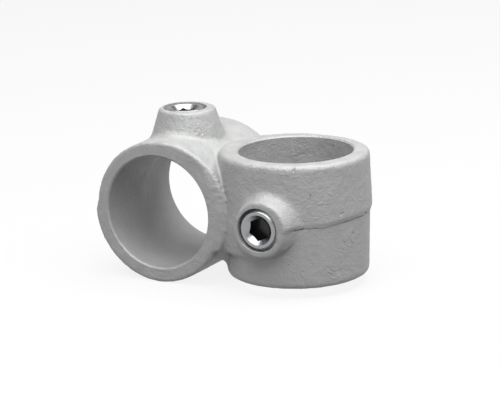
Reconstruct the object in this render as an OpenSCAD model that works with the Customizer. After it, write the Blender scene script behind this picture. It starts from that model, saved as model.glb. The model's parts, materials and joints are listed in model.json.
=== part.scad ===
// Right-angle crossover clamp for two round tubes that pass each other side by side.
// One malleable iron casting holds both tubes, and a hexagon socket set screw grips each.
// Origin: centre of the upright bore, at the casting's parting plane (z = 0).
// The upright tube runs along Z; the lying tube runs along Y, to the left (-X).

/* [Tubes] */
// Outside diameter of the tubes that the clamp joins
tube_d = 42.4; // [33:0.1:49]
// Radial play between a tube and its bore
tube_play = 0.8; // [0.4:0.1:1.6]

/* [Collars] */
// Wall of the upright collar at its two rims
upright_wall = 5.2; // [4:0.1:8]
// Wall of the lying collar
lying_wall = 5.7; // [4:0.1:8]
// Length of each collar along its tube
collar_l = 48; // [46:1:80]
// Metal left between the two bores where they pass each other
web = 4; // [3:0.1:6]
// Moulding draft of the upright collar, in degrees
draft = 1.6; // [0:0.1:3]
// How far the upper mould half sat out of line with the lower one, to the right
mould_shift = 1; // [0:0.1:1.5]
// How far the upright collar is drawn out towards the lying one
upright_reach = 3.6; // [2:0.1:5]
// How far the lying collar is drawn out towards the upright one
lying_reach = 2; // [1:0.1:4]
// How far below the parting plane the drawn-out sides end
reach_drop = 13; // [8:1:16]
// Rounding of the upright collar's outer edges
upright_edge_r = 2.2; // [0.5:0.1:3]
// Rounding of the lying collar's outer edges
lying_edge_r = 0.8; // [0.5:0.1:3]
// Chamfer at the mouths of the bores
mouth_chamfer = 0.6; // [0.3:0.1:1.2]
// Fillet in the valley between the collars, at the rims
valley_fillet = 1.5; // [1:0.1:2]
// Fillet in the valley between the collars, at its four corners
corner_fillet = 3.5; // [2:0.1:5]

/* [Bosses] */
// Height of the upright collar's boss above that collar's rims
upright_boss_rise = 5.3; // [5:0.1:12]
// Height of the lying collar's boss above that collar
lying_boss_rise = 8.8; // [7:0.1:14]
// Metal around the tapped hole at the face of a boss
boss_land = 2.4; // [2:0.1:4]
// Flank angle of a boss, in degrees
boss_taper = 18; // [8:1:25]
// Rounding of a boss's rim
boss_rim_r = 1.2; // [0.5:0.1:1.8]
// Fillet at the foot of a boss
boss_fillet = 4; // [2:0.1:5]
// Chamfer at the mouth of a tapped hole
tap_chamfer = 0.5; // [0.2:0.1:1]

/* [Set screws] */
// Outside diameter of the screw thread
screw_d = 16.66; // [14:0.01:20]
// Length of a set screw
screw_l = 10; // [8:0.1:10.1]
// Radial running clearance of a screw in its tapped hole
screw_play = 0.05; // [0.02:0.01:0.1]
// How far the upright collar's screw lies below its boss face
upright_recess = 0.3; // [0:0.1:0.6]
// How far the lying collar's screw lies below its boss face
lying_recess = 1.3; // [0:0.1:3]
// Hexagon socket, across flats
hex_af = 8; // [6:0.1:8.5]
// Depth of the hexagon socket
hex_depth = 5.8; // [4.5:0.1:6]
// Chamfer around both ends of the screw
screw_chamfer = 1.1; // [0.5:0.1:1.4]
// Width of the countersink around the socket, past the hexagon's flats
lead_in = 1.6; // [0.8:0.1:1.8]
// Diameter of the cup point's rim
cup_d = 12; // [7:0.1:13]
// Depth of the cup point
cup_depth = 1.6; // [0.8:0.1:1.8]

/* [Hidden] */
$fn = 96;

// Collars
bore_r = tube_d / 2 + tube_play;
upright_rim_r = bore_r + upright_wall;
lying_r = bore_r + lying_wall;
axis_gap = 2 * bore_r + web;
half_l = collar_l / 2;

// Bosses
tap_r = screw_d / 2 + screw_play;
boss_face_r = tap_r + boss_land;
upright_boss_top = upright_rim_r + upright_boss_rise;
lying_boss_top = lying_r + lying_boss_rise;
// Where a boss's hidden root starts, measured from the tube's axis
boss_root = 0.7 * bore_r;

// How the two hexagon sockets happen to be turned
upright_key_turn = 55;
lying_key_turn = 10;

// Fillets: steps around the form and steps across the hollow
fillet_turns = 60;
fillet_steps = 5;
// Fillets are sunk this far into both faces, so that they join without a gap
fillet_sink = 0.04;
// How far a fillet's hidden root reaches into the metal
fillet_root = 0.4;
// Cuts reach this far past the faces that they open
cut = 1;

// Outer radius of the upright collar at height z, drafted both ways from the parting plane
function upright_r(z) = upright_rim_r + (half_l - abs(z)) * tan(draft);

// Half section of a wall of height h that leans in by lean degrees from radius r at its foot,
// with its top edge rounded
module wall_section(r, h, lean, edge) {
    edge_z = h - edge;
    edge_x = r - edge / cos(lean) - edge_z * tan(lean);
    polygon([
        [0, 0],
        [r, 0],
        [edge_x + edge * cos(lean), edge_z + edge * sin(lean)],
        [edge_x, h],
        [0, h]
    ]);
    translate([edge_x, edge_z])
        circle(r = edge);
}

// A fillet is the skin of a ball that rolls along the valley between two faces, between the
// points where the ball touches them.

function unit(v) = v / norm(v);

// Direction that lies share t of the way from direction a to direction b
function swing(a, b, t) =
    let (turn = acos(a * b))
    (sin((1 - t) * turn) * a + sin(t * turn) * b) / sin(turn);

// Cross-section of a fillet: the ball of radius r is centred at c and touches the two faces in
// directions a and b. The last points are its root in the metal.
function fillet_section(c, r, a, b) =
    let (
        middle = unit(a + b),
        corner = r / (a * middle)
    )
    concat(
        [c + a * (r + fillet_root)],
        [for (i = [0 : fillet_steps]) c + r * swing(a, b, i / fillet_steps)],
        [c + b * (r + fillet_root)],
        [c + middle * (corner + fillet_root)]
    );

// Closed ring through cross-sections that all have the same number of points
module fillet_ring(sections) {
    turns = len(sections);
    size = len(sections[0]);
    points = [for (section = sections) each section];
    faces = [
        for (i = [0 : turns - 1])
            for (j = [0 : size - 1])
                let (
                    i2 = (i + 1) % turns,
                    j2 = (j + 1) % size
                )
                each [
                    [i * size + j, i2 * size + j2, i * size + j2],
                    [i * size + j, i2 * size + j, i2 * size + j2]
                ]
    ];
    polyhedron(points, faces, convexity = 6);
}

// Fillet at the foot of a boss. The boss stands up along Z on a collar that lies along X, and
// collar_r_at gives the collar's radius at a place along it.
module boss_foot(top, collar_r_at) {
    lean = tan(boss_taper);
    // Distance of the ball's centre from the boss's axis, were it at height 0
    spread = boss_face_r + top * lean + (boss_fillet - fillet_sink) / cos(boss_taper);
    foot_r = spread - collar_r_at(0) * lean;
    fillet_ring([
        for (i = [0 : fillet_turns - 1])
            let (
                a = 360 * (i + 0.5) / fillet_turns,
                reach = collar_r_at(foot_r * cos(a)) + boss_fillet - fillet_sink,
                // Height z where the ball's centre is at its reach from the collar's axis
                q2 = 1 + pow(lean * sin(a), 2),
                q1 = spread * lean * pow(sin(a), 2),
                q0 = pow(spread * sin(a), 2) - pow(reach, 2),
                z = (q1 + sqrt(q1 * q1 - q2 * q0)) / q2,
                out = spread - z * lean,
                c = [out * cos(a), out * sin(a), z],
                to_boss = -[
                    cos(boss_taper) * cos(a),
                    cos(boss_taper) * sin(a),
                    sin(boss_taper)
                ]
            )
            fillet_section(c, boss_fillet, -unit([0, c.y, c.z]), to_boss)
    ]);
}

// Centre of the ball that rests between the two collars, at angle a around the X axis and with
// the given reaches from the upright and the lying tube's axes
function valley_ball(a, upright_reach, lying_reach) =
    let (
        d = axis_gap,
        m = d * d - pow(lying_reach, 2) + pow(upright_reach, 2),
        q2 = pow(cos(2 * a) / (2 * d), 2),
        q1 = pow(cos(a), 2) - cos(2 * a) * m / (2 * d * d),
        q0 = pow(m / (2 * d), 2) - pow(upright_reach, 2),
        // Square of the centre's distance from the X axis
        u = -2 * q0 / (q1 + sqrt(q1 * q1 - 4 * q2 * q0))
    )
    [(u * cos(2 * a) - m) / (2 * d), sqrt(u) * cos(a), sqrt(u) * sin(a)];

// Fillet all the way round the valley between the collars. It is small where a collar's rim
// is near and grows towards the four corners between them.
module valley() {
    fillet_ring([
        for (i = [0 : fillet_turns - 1])
            let (
                a = 360 * (i + 0.5) / fillet_turns,
                r = valley_fillet + (corner_fillet - valley_fillet) * pow(sin(2 * a), 4),
                reach = r - fillet_sink,
                near = valley_ball(a, upright_rim_r + reach, lying_r + reach),
                c = valley_ball(a, upright_r(near.z) + reach, lying_r + reach)
            )
            fillet_section(c, r, -unit([c.x, c.y, 0]), -unit([c.x + axis_gap, 0, c.z]))
    ]);
}

// Places a thing that is drawn on a collar along X, with its boss up along Z
module on_upright_collar() {
    rotate([90, 0, 0])
        rotate([0, 0, 90])
            children();
}

module on_lying_collar() {
    translate([-axis_gap, 0, 0])
        rotate([0, 0, 90])
            children();
}

module upright_round() {
    rotate_extrude()
        wall_section(upright_r(0), half_l, draft, upright_edge_r);
    mirror([0, 0, 1])
        rotate_extrude()
            wall_section(upright_r(0), half_l, draft, upright_edge_r);
}

module lying_round() {
    for (side = [-90, 90])
        rotate([side, 0, 0])
            rotate_extrude()
                wall_section(lying_r, half_l, 0, lying_edge_r);
}

// Space above the plane where the drawn-out sides of the collars end
module above_drop() {
    big = 4 * axis_gap;
    translate([-big / 2, -big / 2, -reach_drop])
        cube(big);
}

// Each collar is round, and drawn out towards the other one except near the underside
module upright_collar() {
    upright_round();
    intersection() {
        translate([-upright_reach, 0, 0])
            upright_round();
        above_drop();
    }
}

module lying_collar() {
    translate([-axis_gap, 0, 0])
        lying_round();
    intersection() {
        translate([lying_reach - axis_gap, 0, 0])
            lying_round();
        above_drop();
    }
}

// Tapered boss along Z, with its face at height top
module boss(top) {
    tall = top - boss_root;
    translate([0, 0, boss_root])
        rotate_extrude()
            wall_section(boss_face_r + tall * tan(boss_taper), tall, boss_taper, boss_rim_r);
}

// Bore along Z, with its mouths chamfered
module bore() {
    cylinder(r = bore_r, h = collar_l + 2 * cut, center = true);
    for (side = [0, 1])
        mirror([0, 0, side])
            translate([0, 0, half_l - mouth_chamfer])
                cylinder(
                    r1 = bore_r,
                    r2 = bore_r + mouth_chamfer + cut,
                    h = mouth_chamfer + cut
                );
}

// Tapped hole along Z, from inside the bore out through the boss face at height top
module tapped_hole(top) {
    cylinder(r = tap_r, h = top + cut);
    translate([0, 0, top - tap_chamfer])
        cylinder(r1 = tap_r, r2 = tap_r + tap_chamfer + cut, h = tap_chamfer + cut);
}

// Outside of the casting, as the pattern has it
module pattern() {
    upright_collar();
    lying_collar();
    valley();
    on_upright_collar() {
        boss(upright_boss_top);
        boss_foot(upright_boss_top, function (x) upright_r(x));
    }
    on_lying_collar() {
        boss(lying_boss_top);
        boss_foot(lying_boss_top, function (x) lying_r);
    }
}

// Block that holds the upper mould half, with its underside on the parting plane
module upper_half() {
    big = 4 * axis_gap;
    translate([-big / 2, -big / 2, 0])
        cube(big);
}

module clamp_body() {
    color("darkgray")
    difference() {
        union() {
            difference() {
                pattern();
                upper_half();
            }
            translate([mould_shift, 0, 0])
                intersection() {
                    pattern();
                    upper_half();
                }
        }
        bore();
        translate([-axis_gap, 0, 0])
            rotate([90, 0, 0])
                bore();
        on_upright_collar()
            tapped_hole(upright_boss_top);
        on_lying_collar()
            tapped_hole(lying_boss_top);
    }
}

// Set screw along Z, with its face at the origin and its cup point down
module set_screw(key_turn) {
    r = screw_d / 2;
    difference() {
        rotate_extrude()
            polygon([
                [0, cup_depth - screw_l],
                [cup_d / 2, -screw_l],
                [r - screw_chamfer, -screw_l],
                [r, screw_chamfer - screw_l],
                [r, -screw_chamfer],
                [r - screw_chamfer, 0],
                [0, 0]
            ]);
        rotate([0, 0, key_turn])
            translate([0, 0, -hex_depth])
                cylinder(d = hex_af / cos(30), h = hex_depth + cut, $fn = 6);
        translate([0, 0, -lead_in])
            cylinder(r1 = hex_af / 2, r2 = hex_af / 2 + lead_in + cut, h = lead_in + cut);
    }
}

module upright_set_screw() {
    color("silver")
        on_upright_collar()
            translate([0, 0, upright_boss_top - upright_recess])
                set_screw(upright_key_turn);
}

module lying_set_screw() {
    color("silver")
        on_lying_collar()
            translate([0, 0, lying_boss_top - lying_recess])
                set_screw(lying_key_turn);
}

clamp_body();
upright_set_screw();
lying_set_screw();
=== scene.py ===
"""Right-angle crossover tube clamp: a galvanised malleable iron casting with two set screws."""

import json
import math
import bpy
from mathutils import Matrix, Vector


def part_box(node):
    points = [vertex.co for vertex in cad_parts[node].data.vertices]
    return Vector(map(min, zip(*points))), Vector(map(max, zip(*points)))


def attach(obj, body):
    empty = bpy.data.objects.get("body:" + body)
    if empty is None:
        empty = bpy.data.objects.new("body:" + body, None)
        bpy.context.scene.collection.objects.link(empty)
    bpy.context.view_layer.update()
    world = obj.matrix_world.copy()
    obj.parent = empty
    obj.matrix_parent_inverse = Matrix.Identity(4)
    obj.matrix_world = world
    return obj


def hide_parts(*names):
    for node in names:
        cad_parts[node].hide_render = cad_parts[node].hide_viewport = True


bl_info = {
    "name": "Crossover Tube Clamp",
    "version": (1, 0, 0),
    "blender": (4, 5, 0),
    "location": "View3D > Sidebar > Tube Clamp",
    "description": "Models a galvanised right-angle tube clamp, its set screws and a plain studio",
    "category": "Add Mesh",
}

import bpy
import numpy as np
from bpy.props import FloatProperty, FloatVectorProperty, IntProperty, PointerProperty
from mathutils import Matrix, Vector, noise

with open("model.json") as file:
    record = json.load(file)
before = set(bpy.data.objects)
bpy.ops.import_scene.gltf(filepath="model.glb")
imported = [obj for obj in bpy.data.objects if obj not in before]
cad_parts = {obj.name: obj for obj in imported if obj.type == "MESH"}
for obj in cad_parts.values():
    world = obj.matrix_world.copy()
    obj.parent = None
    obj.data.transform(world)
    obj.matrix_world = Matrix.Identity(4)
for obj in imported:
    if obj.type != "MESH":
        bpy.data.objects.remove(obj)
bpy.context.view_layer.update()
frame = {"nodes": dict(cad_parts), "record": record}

MM = 0.001
MOUNTS = {mount["name"]: mount for mount in frame["record"]["mounts"]}
BODY_LOW, BODY_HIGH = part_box("clamp_body")
BORE_R = MOUNTS["upright_bore"]["dims"]["r_mm"] * MM
LYING_X = MOUNTS["lying_bore"]["pos_m"][0]
LYING_R = -BODY_LOW.z
UPRIGHT_R = BODY_HIGH.y
MOULD_SHIFT = BODY_HIGH.x - BODY_HIGH.y
# How far each collar is drawn out towards the other one
UPRIGHT_REACH = 3.6 * MM
LYING_REACH = 2 * MM
# Chamfer of the bores' mouths
MOUTH = 0.6 * MM
HALF_L = MOUNTS["upright_bore"]["dims"]["length_mm"] * MM / 2 + MOUTH

# Frames of the two bores, with local Z along the bore and the origin in its middle
LYING_BORE = Matrix.Translation((LYING_X, 0, 0)) @ Matrix.Rotation(math.pi / 2, 4, "X")
BORES = (Matrix.Identity(4), LYING_BORE)

# Frames of the two screw holes: local Z points out of the boss, the origin is on the tube's axis
UPRIGHT_HOLE = Matrix.Rotation(math.pi / 2, 4, "X")
LYING_HOLE = Matrix.Translation((LYING_X, 0, 0))
UPRIGHT_BOSS_TOP = -BODY_LOW.y
LYING_BOSS_TOP = BODY_HIGH.z
HOLES = ((UPRIGHT_HOLE, UPRIGHT_BOSS_TOP), (LYING_HOLE, LYING_BOSS_TOP))

# Radius of a boss at its face, and how much wider it gets with each unit of length below it
BOSS_FACE_R = 10.78 * MM
BOSS_SLOPE = math.tan(math.radians(18))

# Points no further apart than this are one point
WELD = 1e-7
# Cutters reach this far past what they cut
PAST = 1 * MM

# Where the sand was rough, and how far round that: the saddle's tip and the top boss's right foot
ROUGH_PLACES = (
    ((-19.5 * MM, -22 * MM, 10 * MM), 7 * MM),
    ((-34.8 * MM, -2.8 * MM, 24.3 * MM), 4 * MM),
)

# How far along X the parting line starts to rise, and stops, and how far it rises between them
LEDGE_START = 20 * MM
LEDGE_END = 27.5 * MM
LEDGE_RISE = 1.1 * MM

# The parting crack: its first angle in degrees, the degrees from point to point, and their number
CRACK_START = -69
CRACK_STEP = 0.4
CRACK_POINTS = 231

# Marks on the upright collar: the place in degrees round it and in mm of height, the length in
# mm, the tilt in degrees and half the width in mm
SCRATCHES = (
    (-64, 22.6, 2, 80, 0.5),
    (-27, 4.2, 2.4, 30, 0.6),
    (-54, 14, 4, -50, 0.28),
    (-51, 12.5, 3, -50, 0.26),
    (-40, 8.5, 3, 15, 0.3),
    (-36, 12, 2.4, -40, 0.26),
    (-14, -4.5, 2.4, -50, 0.3),
    (-21, -9, 3, -40, 0.3),
    (-27, -11, 2.6, -35, 0.28),
    (-37, -18.6, 3.6, -35, 0.36),
    (-29, -18, 2.6, 25, 0.36),
    (-9, -19.2, 2.4, 50, 0.4),
    (-70, -14, 2.6, -60, 0.3),
    (-58, -17, 2.2, -20, 0.3),
)
WRINKLES = (
    (-15, -7.5, 2.6, -42, 0.32),
    (-18, -5.4, 2.2, -52, 0.3),
    (-23, -6.8, 2.4, -38, 0.3),
    (-25, -9.4, 2, -45, 0.28),
    (-34, -17.2, 3.2, -30, 0.36),
    (-28, -20, 3, 20, 0.34),
    (-33, -20.4, 2.4, 5, 0.32),
    (-45, 9.5, 2.4, 25, 0.32),
    (-48, 4, 2, 15, 0.28),
    (-74, 21, 3, 5, 0.3),
    (-68, -16, 2.4, -30, 0.3),
)

# The studio: strength of its white backdrop, and the overhead lamp's size, place and aim in metres
BACKDROP = 0.86
LAMP_SIZE = (1.2, 0.9)
LAMP_PLACE = (0.14, -0.1, 0.62)
LAMP_AIM = (-0.02, 0, 0)

# From the clamp's origin to the middle of the picture, across and up
PICTURE_SHIFT = (-18.06 * MM, 3.8 * MM)


def linear(code):
    """Linear colour of an sRGB hex value such as #A0A1A2."""
    parts = [int(code[i : i + 2], 16) / 255 for i in (1, 3, 5)]
    return [p / 12.92 if p <= 0.04045 else ((p + 0.055) / 1.055) ** 2.4 for p in parts]


class ClampCastingSettings(bpy.types.PropertyGroup):
    """Sizes of the casting's surface that the frame doesn't hold."""

    grain: FloatProperty(
        name="Grain",
        description="Mesh size of the cast skin",
        default=0.6 * MM,
        min=0.3 * MM,
        unit="LENGTH",
    )
    foot_passes: IntProperty(
        name="Foot Passes",
        description="How often the hollows round the feet of the bosses are smoothed",
        default=8,
        min=0,
    )
    valley_passes: IntProperty(
        name="Valley Passes",
        description="How often the valley between the collars is smoothed",
        default=6,
        min=0,
    )
    skin_height: FloatProperty(
        name="Skin Height",
        description="Unevenness of the cast skin",
        default=0.12 * MM,
        unit="LENGTH",
    )
    knob_height: FloatProperty(
        name="Knob Height",
        description="Height of the small knobs where the sand was rough",
        default=1 * MM,
        unit="LENGTH",
    )


class ClampScrewSettings(bpy.types.PropertyGroup):
    """Sizes of the set screws' thread and socket."""

    pitch: FloatProperty(
        name="Pitch",
        description="Rise of the thread in one turn",
        default=1.337 * MM,
        min=0.5 * MM,
        unit="LENGTH",
    )
    thread_depth: FloatProperty(
        name="Thread Depth",
        description="Height of the thread from root to crest",
        default=0.856 * MM,
        unit="LENGTH",
    )
    socket_af: FloatProperty(
        name="Socket",
        description="Width of the hexagon socket across flats",
        default=8 * MM,
        unit="LENGTH",
    )
    socket_depth: FloatProperty(
        name="Socket Depth",
        description="Depth of the hexagon socket",
        default=5.8 * MM,
        unit="LENGTH",
    )
    end_chamfer: FloatProperty(
        name="End Chamfer",
        description="Chamfer around the point of the screw",
        default=1.1 * MM,
        unit="LENGTH",
    )
    face_chamfer: FloatProperty(
        name="Face Chamfer",
        description="Chamfer around the face with the socket",
        default=1.1 * MM,
        unit="LENGTH",
    )
    neck: FloatProperty(
        name="Neck",
        description="Length below the face where the thread is turned down",
        default=1.8 * MM,
        unit="LENGTH",
    )
    neck_step: FloatProperty(
        name="Neck Step",
        description="How much the thread's radius is turned down there",
        default=0.3 * MM,
        unit="LENGTH",
    )
    countersink: FloatProperty(
        name="Countersink",
        description="Width of the countersink around the socket, past its flats",
        default=1.8 * MM,
        unit="LENGTH",
    )


class ClampFinishSettings(bpy.types.PropertyGroup):
    """Colours of the finishes."""

    galvanised: FloatVectorProperty(
        name="Galvanised Iron",
        description="Mean colour of the zinc skin on the casting",
        subtype="COLOR",
        default=linear("#A9AAA9"),
    )
    zinc_plate: FloatVectorProperty(
        name="Zinc Plate",
        description="Colour of the bright plated screws",
        subtype="COLOR",
        default=linear("#9C9D9F"),
    )
    floor: FloatVectorProperty(
        name="Floor",
        description="Colour of the studio floor",
        subtype="COLOR",
        default=linear("#505050"),
    )


class ClampStageSettings(bpy.types.PropertyGroup):
    """Place of the camera and strength of the lamps."""

    azimuth: FloatProperty(
        name="Azimuth",
        description="Direction of the camera round the clamp",
        default=math.radians(28.77),
        subtype="ANGLE",
    )
    elevation: FloatProperty(
        name="Elevation",
        description="Height of the camera above the horizon",
        default=math.radians(14.69),
        subtype="ANGLE",
    )
    roll: FloatProperty(
        name="Roll",
        description="Tilt of the camera about its line of sight",
        default=math.radians(-1.62),
        subtype="ANGLE",
    )
    distance: FloatProperty(
        name="Distance",
        description="Distance from the camera to the clamp along the line of sight",
        default=1068.27 * MM,
        unit="LENGTH",
    )
    lens: FloatProperty(
        name="Lens",
        description="Focal length for a sensor 36 mm wide",
        default=201.2,
        unit="CAMERA",
    )
    key_power: FloatProperty(
        name="Key Light",
        description="Power of the large lamp overhead",
        default=13.4,
        unit="POWER",
    )
    ambient: FloatProperty(
        name="Ambient",
        description="Strength of the light from all round",
        default=0.2,
    )


def take(*objects):
    """Leaves only these objects selected, the first of them active."""
    bpy.ops.object.select_all(action="DESELECT")
    for obj in objects:
        obj.select_set(True)
    bpy.context.view_layer.objects.active = objects[0]


def added(name):
    """The object that an operator has just added, renamed."""
    obj = bpy.context.active_object
    obj.name = name
    obj.data.name = name
    return obj


def modify(obj, kind, **settings):
    """Adds a modifier and applies it."""
    take(obj)
    modifier = obj.modifiers.new(kind.title(), kind)
    for key, value in settings.items():
        setattr(modifier, key, value)
    bpy.ops.object.modifier_apply(modifier=modifier.name)


def combine(obj, other, operation):
    """Joins, cuts or keeps obj with another solid, which is used up."""
    modify(obj, "BOOLEAN", object=other, operation=operation, solver="MANIFOLD")
    if not obj.data.polygons:
        raise RuntimeError(f"{operation} of {obj.name} with {other.name} left nothing")
    bpy.data.meshes.remove(other.data)


def seat(obj, place):
    """Moves a mesh to its place and leaves its object at the origin."""
    obj.data.transform(place @ obj.matrix_basis)
    obj.matrix_basis = Matrix.Identity(4)


def copy_of(obj, name):
    """A copy with a mesh of its own."""
    twin = bpy.data.objects.new(name, obj.data.copy())
    bpy.context.scene.collection.objects.link(twin)
    return twin


def points_of(obj):
    """The mesh's points as an array."""
    points = np.empty(len(obj.data.vertices) * 3)
    obj.data.vertices.foreach_get("co", points)
    return points.reshape(-1, 3)


def set_points(obj, points):
    """Gives the mesh's points their new places."""
    obj.data.vertices.foreach_set("co", points.ravel())
    obj.data.update()


def edit_faces(obj, wanted):
    """Opens obj for editing with only the wanted faces selected."""
    take(obj)
    bpy.ops.object.mode_set(mode="EDIT")
    bpy.ops.mesh.select_mode(type="FACE")
    bpy.ops.mesh.select_all(action="DESELECT")
    bpy.ops.object.mode_set(mode="OBJECT")
    for face in obj.data.polygons:
        face.select = wanted(face)
    bpy.ops.object.mode_set(mode="EDIT")


def edit_points():
    """Opens the active mesh for editing with everything selected, and welds its points."""
    bpy.ops.object.mode_set(mode="EDIT")
    bpy.ops.mesh.select_all(action="SELECT")
    bpy.ops.mesh.remove_doubles(threshold=WELD)


def cuboid(name, size, middle):
    """Block with those side lengths round its middle."""
    bpy.ops.mesh.primitive_cube_add(size=1, location=middle)
    obj = added(name)
    obj.scale = size
    seat(obj, Matrix.Identity(4))
    return obj


def cone(name, low_r, high_r, low, high, vertices=96):
    """Cone along Z with those radii at its low and high end."""
    bpy.ops.mesh.primitive_cone_add(
        vertices=vertices,
        radius1=low_r,
        radius2=high_r,
        depth=high - low,
        location=(0, 0, (low + high) / 2),
    )
    obj = added(name)
    seat(obj, Matrix.Identity(4))
    return obj


def rod(name, radius, length, place, vertices=128):
    """Plain round bar along the local Z of place, from its origin upwards."""
    bpy.ops.mesh.primitive_cylinder_add(
        vertices=vertices, radius=radius, depth=length, location=(0, 0, length / 2)
    )
    obj = added(name)
    seat(obj, place)
    return obj


def turned_bar(name, radius, low, high, ends, place):
    """Bar from low to high that goes on at 45 degrees beyond them.

    Its radius changes there by the two values in ends, below and above.
    """
    bpy.ops.mesh.primitive_cylinder_add(
        vertices=144, radius=radius, depth=high - low, location=(0, 0, (low + high) / 2)
    )
    obj = added(name)
    seat(obj, Matrix.Identity(4))
    for end, side, change in ((low, -1, ends[0]), (high, 1, ends[1])):
        if not change:
            continue
        edit_faces(obj, lambda face: abs(face.center.z - end) < WELD and abs(face.normal.z) > 0.9)
        bpy.ops.mesh.extrude_region_move(
            TRANSFORM_OT_translate={"value": (0, 0, side * abs(change))}
        )
        scale = (radius + change) / radius
        bpy.ops.transform.resize(value=(scale, scale, 1))
        bpy.ops.object.mode_set(mode="OBJECT")
    seat(obj, place)
    return obj


def threaded_rod(name, major_r, depth, pitch, length, play=0.0):
    """Right-handed screw thread along Z from the origin upwards, on a solid core."""
    root = major_r - depth + play
    crest = major_r + play
    # The tooth is a truncated triangle of 55 degrees, a little less than a pitch wide at its root
    half_root = pitch * 0.46
    half_crest = pitch * 0.09
    sunk = 0.15 * MM
    bpy.ops.mesh.primitive_plane_add(size=1)
    coil = added(name)
    corners = [
        (root - sunk, 0, -half_root),
        (crest, 0, -half_crest),
        (root - sunk, 0, half_root),
        (crest, 0, half_crest),
    ]
    # A plane's points run (-,-), (+,-), (-,+), (+,+)
    for vertex, corner in zip(coil.data.vertices, corners):
        vertex.co = corner
    take(coil)
    bpy.ops.object.mode_set(mode="EDIT")
    bpy.ops.mesh.select_all(action="SELECT")
    bpy.ops.mesh.delete(type="ONLY_FACE")
    bpy.ops.object.mode_set(mode="OBJECT")
    turns = int(length / pitch) + 2
    modify(
        coil,
        "SCREW",
        axis="Z",
        angle=2 * math.pi,
        screw_offset=pitch,
        iterations=turns,
        steps=72,
        render_steps=72,
        use_normal_calculate=True,
    )
    edit_points()
    bpy.ops.mesh.fill_holes(sides=4)
    bpy.ops.mesh.normals_make_consistent(inside=False)
    bpy.ops.object.mode_set(mode="OBJECT")
    seat(coil, Matrix.Translation((0, 0, -pitch)))
    core = rod(name + "_core", root, length + 2 * pitch, Matrix.Translation((0, 0, -pitch)), 144)
    combine(coil, core, "UNION")
    return coil


def solid_pattern():
    """The casting's outside as one solid, with its bores and holes filled and no mould step."""
    body = copy_of(frame["nodes"]["clamp_body"], "casting")
    take(body)
    body.data.materials.clear()
    bpy.ops.mesh.customdata_custom_splitnormals_clear()
    edit_points()
    bpy.ops.object.mode_set(mode="OBJECT")
    # The plugs reach past the chamfered mouths and across the mould step, and end just below the
    # faces around them
    plug_r = BORE_R + MOUTH + MOULD_SHIFT + 0.2 * MM
    short = 0.02 * MM
    for bore in BORES:
        end = bore @ Matrix.Translation((0, 0, short - HALF_L))
        combine(body, rod("plug", plug_r, 2 * (HALF_L - short), end), "UNION")
    hole_plug_r = 9.4 * MM
    for hole, top in HOLES:
        combine(body, rod("plug", hole_plug_r, top - short, hole), "UNION")
    # The mould halves are cut apart just off their ledge and set back in line, a little overlapped
    off = 0.01 * MM
    upper = copy_of(body, "upper_half")
    combine(body, upper_mould_block("block", -off), "DIFFERENCE")
    combine(upper, upper_mould_block("block", off), "INTERSECT")
    seat(upper, Matrix.Translation((-MOULD_SHIFT, 0, -4 * off)))
    combine(body, upper, "UNION")
    return body


def soft_step(values, low, high):
    """Goes smoothly from 0 at low to 1 at high."""
    share = np.clip((values - low) / (high - low), 0, 1)
    return share * share * (3 - 2 * share)


def sharpen_foot(body):
    """Takes the fillet away below and right of the front boss, where the mould had none."""
    size = 18 * MM
    below = 0.3 * MM
    spare = cuboid("spare", (size, size, size), (size / 2, -29 * MM, -size / 2 - below))
    low = Matrix.Translation((0, 0, -HALF_L))
    combine(spare, rod("collar", UPRIGHT_R + 0.05 * MM, 2 * HALF_L, low, 256), "DIFFERENCE")
    root = 15 * MM
    root_r = BOSS_FACE_R + (UPRIGHT_BOSS_TOP - root) * BOSS_SLOPE
    tip = UPRIGHT_BOSS_TOP + 2 * PAST
    tip_r = BOSS_FACE_R - 2 * PAST * BOSS_SLOPE
    flank = cone("flank", root_r, tip_r, root, tip, 144)
    seat(flank, UPRIGHT_HOLE)
    combine(spare, flank, "DIFFERENCE")
    combine(body, spare, "DIFFERENCE")


def off_collars(points):
    """Distances of the points from the outsides of the upright and the lying collar."""
    x, y, z = points.T
    upright = np.minimum(np.hypot(x, y), np.hypot(x + UPRIGHT_REACH, y)) - UPRIGHT_R
    along = x - LYING_X
    lying = np.minimum(np.hypot(along, z), np.hypot(along - LYING_REACH, z)) - LYING_R
    return np.abs(upright), np.abs(lying)


def near_feet(points):
    """How close each point is to the foot of a boss, from 0 to 1."""
    weight = np.zeros(len(points))
    reach = 9 * MM
    for (hole, top), off_collar in zip(HOLES, off_collars(points)):
        local = np.array(hole.inverted())
        at = points @ local[:3, :3].T + local[:3, 3]
        flank_r = BOSS_FACE_R + (top - at[:, 2]) * BOSS_SLOPE
        off_flank = np.abs(np.hypot(at[:, 0], at[:, 1]) - flank_r)
        weight = np.maximum(weight, soft_step(reach - off_flank - off_collar, 0, reach))
    # The front boss stays crisp where its fillet was taken away
    x, y, z = points.T
    crisp = soft_step(x, 0, 3 * MM) * soft_step(-z, 0, 2 * MM) * (y < -18 * MM)
    return weight * (1 - crisp)


def in_valley(points):
    """How close each point is to the valley between the collars, from 0 to 1."""
    to_upright, to_lying = off_collars(points)
    reach = 4 * MM
    return soft_step(reach - to_upright - to_lying, 0, reach)


def weigh(body, name, weights):
    """Names a group of points by their weights; no name stands for all points."""
    if not name:
        return ""
    group = body.vertex_groups.new(name=name)
    for index in np.flatnonzero(weights > 0.01):
        group.add([int(index)], float(weights[index]), "REPLACE")
    return name


def smooth(body, passes, name=None, weights=None):
    """Smooths the whole skin, or the points that have a weight."""
    group = weigh(body, name, weights)
    modify(body, "SMOOTH", factor=0.5, iterations=passes, vertex_group=group)


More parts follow.
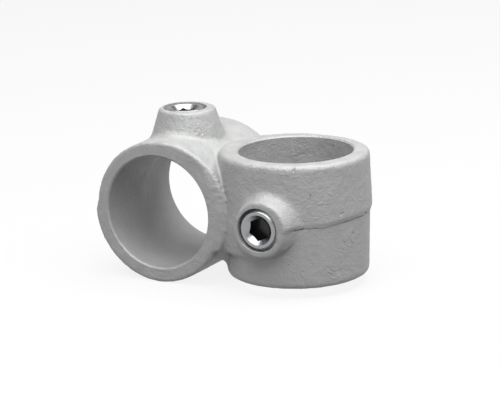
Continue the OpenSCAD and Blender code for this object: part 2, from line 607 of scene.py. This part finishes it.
def cast_skin(body, settings):
    """Turns the solid into an even skin with soft hollows and the unevenness of sand casting."""
    modify(body, "REMESH", mode="VOXEL", voxel_size=settings.grain)
    smooth(body, 3)
    smooth(body, settings.foot_passes, "feet", near_feet(points_of(body)))
    smooth(body, settings.valley_passes, "valley", in_valley(points_of(body)))
    slant_front_band(body)
    raise_lumps(body, 14 * MM, settings.skin_height * 1.2)
    raise_lumps(body, 4 * MM, settings.skin_height * 0.8)
    raise_lumps(body, 1.6 * MM, settings.knob_height, "knobbly", knobbly(points_of(body)))


def raise_lumps(body, size, height, name=None, weights=None):
    """Makes the skin uneven with lumps of that size, all over or on the points with a weight."""
    lumps = bpy.data.textures.new("lumps", "CLOUDS")
    lumps.noise_scale = size
    lumps.noise_depth = 1
    modify(
        body,
        "DISPLACE",
        texture=lumps,
        texture_coords="LOCAL",
        strength=height,
        mid_level=0.5,
        vertex_group=weigh(body, name, weights),
    )


def knobbly(points):
    """How knobbly the skin is at each point: the rough places most, loose patches a little."""
    patches = [noise.noise(Vector(point) / (7 * MM)) for point in points]
    weight = 0.25 * soft_step(np.array(patches), 0.05, 0.35)
    for middle, reach in ROUGH_PLACES:
        away = np.linalg.norm(points - np.array(middle), axis=1)
        weight = np.maximum(weight, 1 - soft_step(away, 0.35 * reach, reach))
    # The rims are a little ragged too; the upright collar's draft sets its own 1 mm inwards
    draft = 1 * MM
    x, y, z = np.abs(points - np.array((LYING_X, 0, 0))).T
    off_lying = np.hypot(np.hypot(x, z) - LYING_R, y - HALF_L)
    x, y, z = np.abs(points).T
    off_upright = np.hypot(np.hypot(x, y) - UPRIGHT_R + draft, z - HALF_L)
    rims = 1 - soft_step(np.minimum(off_lying, off_upright), 1 * MM, 3 * MM)
    return np.maximum(weight, 0.2 * rims)


def slant_front_band(body):
    """Leans the front face of the lying collar's drawn-out side back, from a soft crease on."""
    points = points_of(body)
    x, y, z = points.T
    along = x - LYING_X
    crease_r = 25.8 * MM
    slope = 0.26
    margin = 0.9 * MM
    past_crease = np.maximum(np.hypot(along, z) - crease_r, 0)
    in_outline = LYING_R + margin - np.hypot(along - LYING_REACH, z)
    share = soft_step(in_outline, 0, margin) * soft_step(along, 18 * MM, 24 * MM)
    points[:, 1] += slope * past_crease * share * soft_step(-y, 19 * MM, 23 * MM)
    set_points(body, points)


def ledge_rise(x):
    """How far the parting line has risen on its way to the upright collar's far side."""
    return LEDGE_RISE * soft_step(x, LEDGE_START, LEDGE_END)


def parting_height(x, y):
    """How far the ragged parting line strays from its plane."""
    broad = noise.noise(Vector((x, y, 0)) / (9 * MM))
    fine = noise.noise(Vector((x, y, 5 * MM)) / (2.2 * MM))
    jagged = noise.noise(Vector((x, y, 9 * MM)) / (1.3 * MM))
    return (0.25 * broad + 0.2 * fine + 0.2 * jagged) * MM + float(ledge_rise(x))


def upper_mould_block(name, underside):
    """Block that holds the upper mould half, with its flat underside at that height."""
    length, width, height = 120 * MM, 84 * MM, 60 * MM
    return cuboid(name, (length, width, height), (LYING_X / 2, 0, height / 2 + underside))


def ragged_mould_block(name, drop):
    """The same block with the ragged parting surface as its underside."""
    block = upper_mould_block(name, 0)
    edit_faces(block, lambda face: face.normal.z < -0.9)
    bpy.ops.mesh.subdivide(number_cuts=200)
    bpy.ops.mesh.quads_convert_to_tris()
    bpy.ops.object.mode_set(mode="OBJECT")
    points = points_of(block)
    low = points[:, 2] < 1 * MM
    points[low, 2] = [parting_height(x, y) for x, y in points[low, :2]]
    points[low, 2] -= drop
    set_points(block, points)
    return block


def shift_mould_halves(body):
    """Cuts the casting along its ragged parting line and sets the upper half out of line.

    The ledge stands sharp round the upright collar's far side. Nearer the lying collar it was
    dressed off, so there the shift comes in gradually.
    """
    overlap = 0.02 * MM
    upper = copy_of(body, "upper_half")
    points = points_of(body)
    sharp = soft_step(points[:, 0], 0, 11 * MM)
    rise = soft_step(points[:, 2], -3 * MM, 3 * MM)
    # Just above the line the edge is worn back
    above = points[:, 2] - ledge_rise(points[:, 0])
    lip = 0.4 + 0.6 * soft_step(above, 0, 1.6 * MM)
    for half, ledge in ((body, 0), (upper, lip)):
        moved = points.copy()
        moved[:, 0] += MOULD_SHIFT * (sharp * ledge + (1 - sharp) * rise)
        set_points(half, moved)
    combine(body, ragged_mould_block("block", 0), "DIFFERENCE")
    combine(upper, ragged_mould_block("block", overlap), "INTERSECT")
    combine(body, upper, "UNION")


def wires(name, lines):
    """Round wires of changing thickness along rows of points with radii, as a closed mesh."""
    curve = bpy.data.curves.new(name, "CURVE")
    curve.dimensions = "3D"
    curve.bevel_depth = 1
    curve.bevel_resolution = 2
    curve.use_fill_caps = True
    for points in lines:
        line = curve.splines.new("POLY")
        line.points.add(len(points) - 1)
        for target, (place, radius) in zip(line.points, points):
            target.co = (*place, 1)
            target.radius = radius
    obj = bpy.data.objects.new(name, curve)
    bpy.context.scene.collection.objects.link(obj)
    take(obj)
    bpy.ops.object.convert(target="MESH")
    edit_points()
    bpy.ops.mesh.normals_make_consistent(inside=False)
    bpy.ops.object.mode_set(mode="OBJECT")
    return obj


def cut_parting_crack(body):
    """Cuts the thin ragged crack under the upper half's ledge, from the boss round to the side."""
    points = []
    for step in range(CRACK_POINTS):
        angle = CRACK_START + step * CRACK_STEP
        x, y = (UPRIGHT_R * turn(math.radians(angle)) for turn in (math.cos, math.sin))
        ragged = noise.noise(Vector((x, y, 3 * MM)) / (1.1 * MM))
        broad = noise.noise(Vector((x, y, 7 * MM)) / (5 * MM))
        # Deep beside the boss and again towards the side, hardly open in between
        gape = min(1, max(0, (32 - step) / 8)) + 0.8 * float(soft_step(step, 80, 130))
        width = (0.14 + 0.26 * gape + 0.16 * ragged + 0.1 * broad) * MM
        width *= min(1, (step + 1) / 4, (CRACK_POINTS - step) / 20)
        height = parting_height(x, y) + (0.14 * ragged - 0.08) * MM
        points.append((on_skin(body, angle, height), max(width, 0.04 * MM)))
    combine(body, wires("crack", [points]), "DIFFERENCE")


def on_skin(body, angle, height):
    """Point where the skin lies in that direction, in degrees, from the upright bore's axis."""
    out = Vector((math.cos(math.radians(angle)), math.sin(math.radians(angle)), 0))
    found, place, _, _ = body.ray_cast(out * UPRIGHT_R * 2 + Vector((0, 0, height)), -out)
    if not found:
        raise RuntimeError(f"No skin at {angle} degrees and height {height}")
    return place


def mark_skin(body):
    """Cuts the scratches and raises the wrinkles that casting and handling left."""
    # Scratches are cut by wires just off the skin, and wrinkles are wires sunk into it
    off = 0.12 * MM
    steps = 12
    for name, marks, lift, operation in (
        ("scratches", SCRATCHES, off, "DIFFERENCE"),
        ("wrinkles", WRINKLES, -off, "UNION"),
    ):
        lines = []
        for angle, height, length, tilt, width in marks:
            middle = Vector((math.radians(angle) * UPRIGHT_R, height * MM))
            along = Vector((math.cos(math.radians(tilt)), math.sin(math.radians(tilt))))
            points = []
            for step in range(steps + 1):
                share = 2 * step / steps - 1
                at = middle + along * (share * length / 2 * MM)
                wobble = noise.noise(Vector((*at, 2 * MM)) / (1.2 * MM)) * 0.3 * MM
                at += Vector((-along.y, along.x)) * wobble
                place = on_skin(body, math.degrees(at.x / UPRIGHT_R), at.y)
                out = Vector((place.x, place.y, 0)).normalized()
                radius = max(width * (1 - share * share) ** 0.5, 0.1) * MM
                points.append((place + out * lift, radius))
            lines.append(points)
        combine(body, wires(name, lines), operation)


def cut_bores_and_holes(body, screws):
    """Cuts both bores with their chamfered mouths, and both threaded holes."""
    low, high = MOUTH - HALF_L, HALF_L - MOUTH
    flare = MOUTH + PAST
    for bore in BORES:
        combine(body, turned_bar("bore", BORE_R, low, high, (flare, flare), bore), "DIFFERENCE")
    play = 0.05 * MM
    for hole, top in HOLES:
        tap = threaded_rod(
            "tap", screw_radius(), screws.thread_depth, screws.pitch, top + PAST, play
        )
        seat(tap, hole @ thread_start(screws))
        # The tap comes in from the face, so the mouth is cleared to the thread's full width
        mouth_r = screw_radius() + 0.08 * MM
        bottom = top - 2.2 * MM
        chamfer = 0.12 * MM
        flare_ends = (0, chamfer + PAST)
        mouth = turned_bar("mouth", mouth_r, bottom, top - chamfer, flare_ends, hole)
        combine(tap, mouth, "UNION")
        combine(body, tap, "DIFFERENCE")


def screw_radius():
    """Outside radius of a set screw's thread."""
    low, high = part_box("lying_set_screw")
    return (high.x - low.x) / 2


def thread_start(screws):
    """Where each thread starts on its hole's axis, the same in both so that they are in step."""
    return Matrix.Translation((0, 0, -2 * screws.pitch))


def screw_span(cad_node, hole):
    """Lowest and highest point of a screw along its hole's axis."""
    axis = hole.to_3x3() @ Vector((0, 0, 1))
    return sorted((corner - hole.translation).dot(axis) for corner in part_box(cad_node))


def screw_blank(name, low, high, screws):
    """Plain screw with a chamfered point and a turned-down, chamfered neck."""
    # It only trims the thread's ends, so it stands clear of the thread's crests
    proud = 0.06 * MM
    shoulder = 0.4 * MM
    chamfer = screws.end_chamfer + proud
    crest_end = high - screws.neck - shoulder
    ends = (-chamfer, -shoulder)
    upright = Matrix.Identity(4)
    blank = turned_bar(name, screw_radius() + proud, low + chamfer, crest_end, ends, upright)
    neck_r = screw_radius() - screws.neck_step
    neck_low = low + 3 * MM
    neck_high = high - screws.face_chamfer
    ends = (0, -screws.face_chamfer)
    neck = turned_bar("neck", neck_r, neck_low, neck_high, ends, upright)
    combine(blank, neck, "UNION")
    return blank


def set_screw(name, low, high, turn, screws):
    """Set screw along Z with a rolled thread, hexagon socket and cup point."""
    screw = screw_blank(name, low, high, screws)
    thread = threaded_rod(
        name + "_thread", screw_radius(), screws.thread_depth, screws.pitch, high + 2 * PAST
    )
    seat(thread, thread_start(screws))
    combine(screw, thread, "INTERSECT")
    flat_r = screws.socket_af / 2
    sink_r = flat_r + screws.countersink + PAST
    sink = cone("sink", flat_r, sink_r, high - screws.countersink, high + PAST)
    combine(screw, sink, "DIFFERENCE")
    corner_r = flat_r / math.cos(math.pi / 6)
    bottom = Matrix.Translation((0, 0, high - screws.socket_depth))
    spin = Matrix.Rotation(turn, 4, "Z")
    socket = rod("socket", corner_r, screws.socket_depth + PAST, bottom @ spin, 6)
    combine(screw, socket, "DIFFERENCE")
    cup_r = 6 * MM
    cup_depth = 1.6 * MM
    combine(screw, cone("cup", cup_r, 0, low, low + cup_depth), "DIFFERENCE")
    return screw


def node(tree, kind, inputs=None, **settings):
    """Adds a node with its settings; an input is a value, or an output socket to link from."""
    made = tree.nodes.new(kind)
    for key, value in settings.items():
        setattr(made, key, value)
    for key, value in (inputs or {}).items():
        socket = made.inputs[key]
        if isinstance(value, bpy.types.NodeSocket):
            tree.links.new(value, socket)
        else:
            socket.default_value = value
    return made


def new_material(name):
    """Material without any nodes yet, and its node tree."""
    material = bpy.data.materials.new(name)
    material.use_nodes = True
    tree = material.node_tree
    tree.nodes.clear()
    return material, tree


def galvanised_iron(colour):
    """Hot-dip galvanised malleable iron: matt grey zinc over sand-cast skin."""
    material, tree = new_material("galvanised_malleable_iron")
    at = node(tree, "ShaderNodeTexCoord").outputs["Object"]
    # Zinc dries in cloudy patches about 6 mm across
    clouds = node(
        tree, "ShaderNodeTexNoise", {"Vector": at, "Scale": 1 / (6 * MM), "Detail": 4.0}
    ).outputs["Fac"]
    grey = [c * 0.94 for c in colour] + [1]
    light = [min(c * 1.05, 1) for c in colour] + [1]
    tint = node(tree, "ShaderNodeValToRGB", {"Fac": clouds})
    tint.color_ramp.elements[0].position = 0.35
    tint.color_ramp.elements[0].color = grey
    tint.color_ramp.elements[1].position = 0.65
    tint.color_ramp.elements[1].color = light
    rough = node(
        tree,
        "ShaderNodeMapRange",
        {"Value": clouds, "From Min": 0.3, "From Max": 0.7, "To Min": 0.5, "To Max": 0.66},
    ).outputs["Result"]
    # Unevenness of the sand under the zinc, about 2.5 mm across, and its fine grain
    uneven = node(
        tree, "ShaderNodeTexNoise", {"Vector": at, "Scale": 1 / (2.5 * MM), "Detail": 3.0}
    ).outputs["Fac"]
    grain = node(
        tree, "ShaderNodeTexNoise", {"Vector": at, "Scale": 1 / (0.8 * MM), "Detail": 2.0}
    ).outputs["Fac"]
    broad_bump = node(
        tree, "ShaderNodeBump", {"Height": uneven, "Distance": 0.35 * MM, "Strength": 1.0}
    ).outputs["Normal"]
    bump = node(
        tree,
        "ShaderNodeBump",
        {"Height": grain, "Distance": 0.22 * MM, "Strength": 1.0, "Normal": broad_bump},
    ).outputs["Normal"]
    shader = node(
        tree,
        "ShaderNodeBsdfPrincipled",
        {
            "Base Color": tint.outputs["Color"],
            "Metallic": 0.3,
            "Roughness": rough,
            "Normal": bump,
        },
    ).outputs["BSDF"]
    node(tree, "ShaderNodeOutputMaterial", {"Surface": shader})
    return material


def zinc_plated_steel(colour, hole, top):
    """Bright zinc-plated steel, on a screw whose face is at top along its hole's axis.

    Deep in the narrow socket the colour is darkened, as painted shade.
    """
    material, tree = new_material("bright_zinc_plated_steel")
    at = node(tree, "ShaderNodeTexCoord").outputs["Object"]
    haze = node(
        tree, "ShaderNodeTexNoise", {"Vector": at, "Scale": 1 / (1.5 * MM), "Detail": 3.0}
    ).outputs["Fac"]
    rough = node(
        tree,
        "ShaderNodeMapRange",
        {"Value": haze, "From Min": 0.3, "From Max": 0.7, "To Min": 0.22, "To Max": 0.36},
    ).outputs["Result"]
    bump = node(
        tree, "ShaderNodeBump", {"Height": haze, "Distance": 0.02 * MM, "Strength": 0.5}
    ).outputs["Normal"]
    # Distance from the screw's axis, and depth below its face
    axis = hole.to_3x3() @ Vector((0, 0, 1))
    face = hole.translation + axis * top
    from_face = node(
        tree, "ShaderNodeVectorMath", {0: at, 1: face}, operation="SUBTRACT"
    ).outputs["Vector"]
    height = node(
        tree, "ShaderNodeVectorMath", {0: from_face, 1: axis}, operation="DOT_PRODUCT"
    ).outputs["Value"]
    across = node(
        tree, "ShaderNodeVectorMath", {0: from_face, 1: axis}, operation="CROSS_PRODUCT"
    ).outputs["Vector"]
    off_axis = node(
        tree, "ShaderNodeVectorMath", {0: across}, operation="LENGTH"
    ).outputs["Value"]
    # Painted shade: the colour darkens from 1.6 to 2.4 mm down, where the countersink has gone
    # over into the socket
    inside, deep = (
        node(
            tree, "ShaderNodeMapRange", {"Value": value, "From Min": start, "From Max": end}
        ).outputs["Result"]
        for value, start, end in (
            (off_axis, 5.6 * MM, 5.3 * MM),
            (height, -1.6 * MM, -2.4 * MM),
        )
    )
    socket_shade = node(tree, "ShaderNodeMath", {0: inside, 1: deep}, operation="MULTIPLY")
    tint = node(tree, "ShaderNodeValToRGB", {"Fac": socket_shade.outputs["Value"]})
    tint.color_ramp.elements[0].color = [*colour, 1]
    # Painted shade deep in the socket: the plating's colour at 0.12 of its strength
    tint.color_ramp.elements[1].color = [c * 0.12 for c in colour] + [1]
    shader = node(
        tree,
        "ShaderNodeBsdfPrincipled",
        {
            "Base Color": tint.outputs["Color"],
            "Metallic": 1.0,
            "Roughness": rough,
            "Normal": bump,
        },
    ).outputs["BSDF"]
    node(tree, "ShaderNodeOutputMaterial", {"Surface": shader})
    return material


def finish_piece(piece, material, body, cad_node):
    """Gives a piece its material and ties it to the frame."""
    piece.data.materials.clear()
    piece.data.materials.append(material)
    take(piece)
    bpy.ops.object.shade_smooth_by_angle(angle=math.radians(32))
    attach(piece, body)
    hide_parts(cad_node)


class CLAMP_OT_casting(bpy.types.Operator):
    """Model the galvanised casting with its two collars and bosses"""

    bl_idname = "clamp.casting"
    bl_label = "Casting"
    bl_options = {"REGISTER", "UNDO"}

    def execute(self, context):
        scene = context.scene
        body = solid_pattern()
        sharpen_foot(body)
        cast_skin(body, scene.clamp_casting)
        shift_mould_halves(body)
        cut_parting_crack(body)
        mark_skin(body)
        cut_bores_and_holes(body, scene.clamp_screws)
        material = galvanised_iron(scene.clamp_finish.galvanised)
        finish_piece(body, material, "clamp", "clamp_body")
        return {"FINISHED"}


class CLAMP_OT_set_screws(bpy.types.Operator):
    """Model the two hexagon socket set screws"""

    bl_idname = "clamp.set_screws"
    bl_label = "Set Screws"
    bl_options = {"REGISTER", "UNDO"}

    def execute(self, context):
        scene = context.scene
        # The top screw's face stands almost level with its boss, so it is longer than its solid
        for name, cad_node, body, hole, turn, longer in (
            ("front_set_screw", "upright_set_screw", "upright_screw", UPRIGHT_HOLE, 52, 0),
            ("top_set_screw", "lying_set_screw", "lying_screw", LYING_HOLE, 100, 1 * MM),
        ):
            low, high = screw_span(cad_node, hole)
            high += longer
            screw = set_screw(name, low, high, math.radians(turn), scene.clamp_screws)
            seat(screw, hole)
            material = zinc_plated_steel(scene.clamp_finish.zinc_plate, hole, high)
            finish_piece(screw, material, body, cad_node)
        return {"FINISHED"}


class CLAMP_OT_stage(bpy.types.Operator):
    """Set up the floor, the soft studio light and the camera"""

    bl_idname = "clamp.stage"
    bl_label = "Stage"
    bl_options = {"REGISTER", "UNDO"}

    def execute(self, context):
        scene = context.scene
        stage = scene.clamp_stage
        build_floor(scene.clamp_finish.floor)
        build_light(stage)
        build_camera(stage)
        scene.view_settings.view_transform = "Standard"
        return {"FINISHED"}


def backdrop_rays(tree):
    """1 where the camera, a mirror or clear glass looks at the backdrop, otherwise 0."""
    path = node(tree, "ShaderNodeLightPath")
    seen = path.outputs["Is Camera Ray"]
    for kind in ("Is Glossy Ray", "Is Transmission Ray"):
        seen = node(
            tree, "ShaderNodeMath", {0: seen, 1: path.outputs[kind]}, operation="MAXIMUM"
        ).outputs["Value"]
    return seen


def build_floor(colour):
    """Wide floor that the clamp stands on, white to the camera but for the clamp's shadow."""
    floor_size = 8
    bpy.ops.mesh.primitive_plane_add(size=floor_size, location=(0, 0, BODY_LOW.z))
    floor = added("floor")
    seat(floor, Matrix.Identity(4))
    material, tree = new_material("studio_floor")
    seen = backdrop_rays(tree)
    matt = node(tree, "ShaderNodeBsdfDiffuse", {"Color": [*colour, 1]}).outputs["BSDF"]
    strength = node(
        tree, "ShaderNodeMath", {0: seen, 1: BACKDROP}, operation="MULTIPLY"
    ).outputs["Value"]
    glow = node(tree, "ShaderNodeEmission", {"Strength": strength}).outputs["Emission"]
    both = node(tree, "ShaderNodeAddShader", {0: matt, 1: glow}).outputs["Shader"]
    node(tree, "ShaderNodeOutputMaterial", {"Surface": both})
    floor.data.materials.append(material)


def build_light(stage):
    """Soft light from all round, and one large lamp overhead."""
    world = bpy.data.worlds.new("studio")
    bpy.context.scene.world = world
    world.use_nodes = True
    tree = world.node_tree
    tree.nodes.clear()
    looked = node(tree, "ShaderNodeTexCoord").outputs["Generated"]

    def graded(value, low, high, start, end):
        """Goes from start at low to end at high."""
        inputs = {"From Min": low, "From Max": high, "To Min": start, "To Max": end}
        return node(tree, "ShaderNodeMapRange", {"Value": value, **inputs}).outputs["Result"]

    # The studio is lighter behind the clamp, and dark at its far right
    levels = []
    for way, low, high, start, end in (
        ((-0.5, 0.85, 0.0), -0.2, 0.8, stage.ambient, stage.ambient * 1.9),
        ((0.87, 0.48, -0.1), 0.5, 0.95, 1.0, 0.2),
    ):
        share = node(tree, "ShaderNodeVectorMath", {0: looked, 1: way}, operation="DOT_PRODUCT")
        levels.append(graded(share.outputs["Value"], low, high, start, end))
    level = node(
        tree, "ShaderNodeMath", {0: levels[0], 1: levels[1]}, operation="MULTIPLY"
    ).outputs["Value"]
    # The camera and shiny pieces see the white backdrop that stands behind the floor
    height = node(tree, "ShaderNodeSeparateXYZ", {"Vector": looked}).outputs["Z"]
    backdrop = node(
        tree,
        "ShaderNodeMath",
        {0: graded(height, 0.3, 0.6, BACKDROP, 0.0), 1: backdrop_rays(tree)},
        operation="MULTIPLY",
    ).outputs["Value"]
    level = node(
        tree, "ShaderNodeMath", {0: level, 1: backdrop}, operation="MAXIMUM"
    ).outputs["Value"]
    sky = node(
        tree, "ShaderNodeBackground", {"Color": [1, 1, 1, 1], "Strength": level}
    ).outputs["Background"]
    node(tree, "ShaderNodeOutputWorld", {"Surface": sky})
    lamp = bpy.data.lights.new("overhead", "AREA")
    lamp.shape = "RECTANGLE"
    lamp.size, lamp.size_y = LAMP_SIZE
    lamp.energy = stage.key_power
    overhead = bpy.data.objects.new("overhead", lamp)
    bpy.context.scene.collection.objects.link(overhead)
    overhead.location = LAMP_PLACE
    aim = Vector(LAMP_AIM) - overhead.location
    overhead.rotation_euler = aim.to_track_quat("-Z", "Y").to_euler()


def build_camera(stage):
    """Camera at its distance from the clamp, turned about its line of sight by the roll."""
    azimuth, elevation = stage.azimuth, stage.elevation
    back = Vector(
        (
            math.sin(azimuth) * math.cos(elevation),
            -math.cos(azimuth) * math.cos(elevation),
            math.sin(elevation),
        )
    )
    right = Vector((math.cos(azimuth), math.sin(azimuth), 0))
    up = back.cross(right)
    across = right * math.cos(stage.roll) + up * math.sin(stage.roll)
    upward = up * math.cos(stage.roll) - right * math.sin(stage.roll)
    camera = bpy.data.objects.new("camera", bpy.data.cameras.new("camera"))
    bpy.context.scene.collection.objects.link(camera)
    # The clamp's origin lies right of the middle of the picture and a little below it
    place = PICTURE_SHIFT[0] * across + PICTURE_SHIFT[1] * upward + stage.distance * back
    turn = Matrix((across, upward, back)).transposed().to_4x4()
    camera.matrix_world = Matrix.Translation(place) @ turn
    camera.data.sensor_width = 36
    camera.data.lens = stage.lens
    camera.data.clip_start = 0.05
    camera.data.clip_end = 20
    bpy.context.scene.camera = camera


class CLAMP_PT_sidebar(bpy.types.Panel):
    """Sidebar with the clamp's settings and its pieces"""

    bl_idname = "CLAMP_PT_sidebar"
    bl_label = "Tube Clamp"
    bl_space_type = "VIEW_3D"
    bl_region_type = "UI"
    bl_category = "Tube Clamp"

    def draw(self, context):
        layout = self.layout
        for group in (
            context.scene.clamp_casting,
            context.scene.clamp_screws,
            context.scene.clamp_finish,
            context.scene.clamp_stage,
        ):
            box = layout.box()
            for key in group.bl_rna.properties.keys():
                if key not in ("rna_type", "name"):
                    box.prop(group, key)
        for operator in (CLAMP_OT_casting, CLAMP_OT_set_screws, CLAMP_OT_stage):
            layout.operator(operator.bl_idname)


SETTINGS = {
    "clamp_casting": ClampCastingSettings,
    "clamp_screws": ClampScrewSettings,
    "clamp_finish": ClampFinishSettings,
    "clamp_stage": ClampStageSettings,
}
CLASSES = [
    *SETTINGS.values(),
    CLAMP_OT_casting,
    CLAMP_OT_set_screws,
    CLAMP_OT_stage,
    CLAMP_PT_sidebar,
]


def register():
    for cls in CLASSES:
        bpy.utils.register_class(cls)
    for key, cls in SETTINGS.items():
        setattr(bpy.types.Scene, key, PointerProperty(type=cls))


def unregister():
    for key in SETTINGS:
        delattr(bpy.types.Scene, key)
    for cls in reversed(CLASSES):
        bpy.utils.unregister_class(cls)


def main():
    register()
    bpy.ops.clamp.casting()
    bpy.ops.clamp.set_screws()
    bpy.ops.clamp.stage()


if __name__ == "__main__":
    main()
